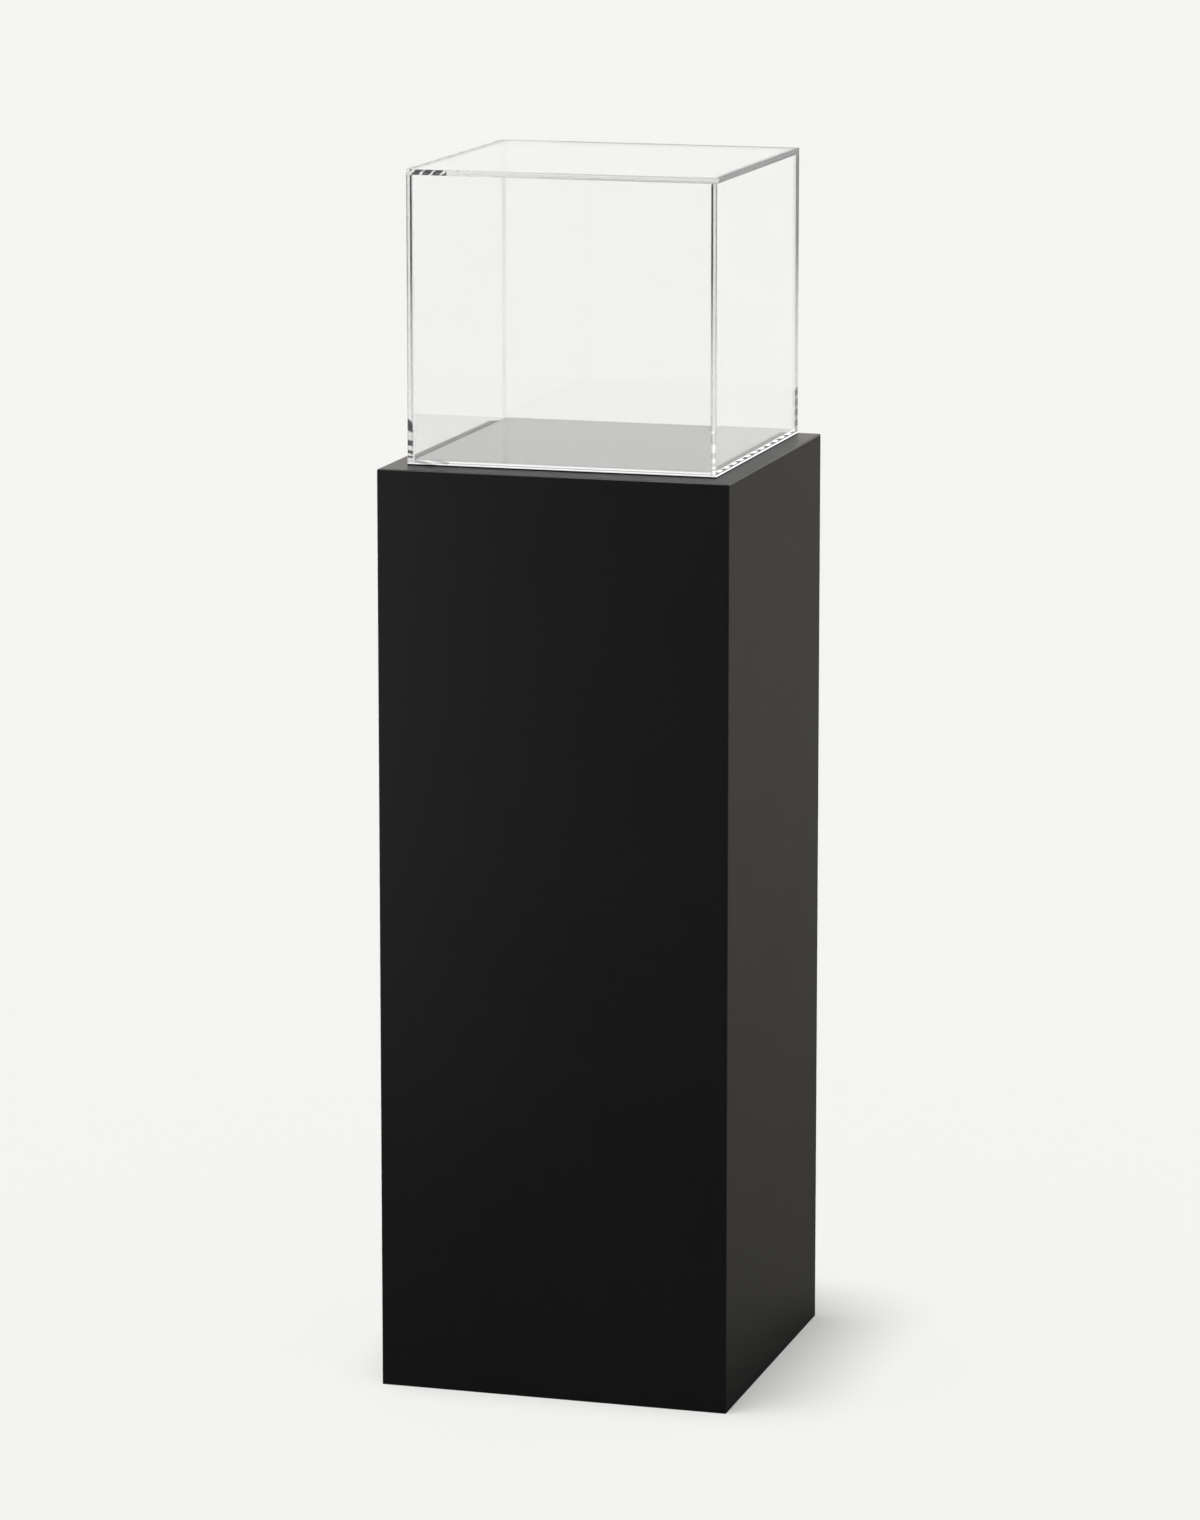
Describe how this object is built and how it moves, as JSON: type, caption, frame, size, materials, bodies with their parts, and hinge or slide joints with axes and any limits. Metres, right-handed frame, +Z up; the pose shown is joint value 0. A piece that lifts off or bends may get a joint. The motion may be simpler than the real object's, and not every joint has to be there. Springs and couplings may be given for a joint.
{
  "type": "pedestal display case",
  "caption": "Tall square box plinth in satin black that carries a clear display case: a stepped clear base and a five-sided cover that lifts off upwards.",
  "frame": {"origin": "on the floor, under the middle of the plinth", "axes": "+Z up, -Y the front of the plinth, +X its right-hand side as seen from the front"},
  "size_m": [0.35, 0.35, 1.196],
  "materials": {
    "painted_board": "satin",
    "base_board": "matte",
    "batten": "matte",
    "screw_steel": "satin",
    "foot_steel": "satin",
    "foot_pad": "matte",
    "clear_base": "polished",
    "clear_cover": "polished"
  },
  "bodies": {
    "plinth": {"front_wall": "painted_board", "back_wall": "painted_board", "left_wall": "painted_board", "right_wall": "painted_board", "deck_board": "painted_board", "base_board": "base_board", "corner_batten_front_left": "batten", "corner_batten_front_right": "batten", "corner_batten_back_left": "batten", "corner_batten_back_right": "batten", "deck_cleat_front": "batten", "deck_cleat_back": "batten", "deck_cleat_left": "batten", "deck_cleat_right": "batten", "base_cleat_front": "batten", "base_cleat_back": "batten", "base_cleat_left": "batten", "base_cleat_right": "batten", "deck_cleat_screws": "screw_steel", "base_cleat_screws": "screw_steel", "tee_nuts": "foot_steel", "case_base_sheet": "clear_base", "case_step_sheet": "clear_base"},
    "cover": {"cover_front_sheet": "clear_cover", "cover_back_sheet": "clear_cover", "cover_left_sheet": "clear_cover", "cover_right_sheet": "clear_cover", "cover_top_sheet": "clear_cover"},
    "foot_front_left": {"foot_stud_front_left": "foot_steel", "foot_pad_front_left": "foot_pad"},
    "foot_front_right": {"foot_stud_front_right": "foot_steel", "foot_pad_front_right": "foot_pad"},
    "foot_back_left": {"foot_stud_back_left": "foot_steel", "foot_pad_back_left": "foot_pad"},
    "foot_back_right": {"foot_stud_back_right": "foot_steel", "foot_pad_back_right": "foot_pad"}
  },
  "joints": [
    {"name": "cover_lift", "type": "slide", "parent": "plinth", "child": "cover", "axis": [0, 0, 1], "range_m": [0, 0.3]},
    {"name": "foot_front_left_screw", "type": "slide", "parent": "plinth", "child": "foot_front_left", "axis": [0, 0, -1], "range_m": [0, 0.012]},
    {"name": "foot_front_right_screw", "type": "slide", "parent": "plinth", "child": "foot_front_right", "axis": [0, 0, -1], "range_m": [0, 0.012]},
    {"name": "foot_back_left_screw", "type": "slide", "parent": "plinth", "child": "foot_back_left", "axis": [0, 0, -1], "range_m": [0, 0.012]},
    {"name": "foot_back_right_screw", "type": "slide", "parent": "plinth", "child": "foot_back_right", "axis": [0, 0, -1], "range_m": [0, 0.012]}
  ]
}
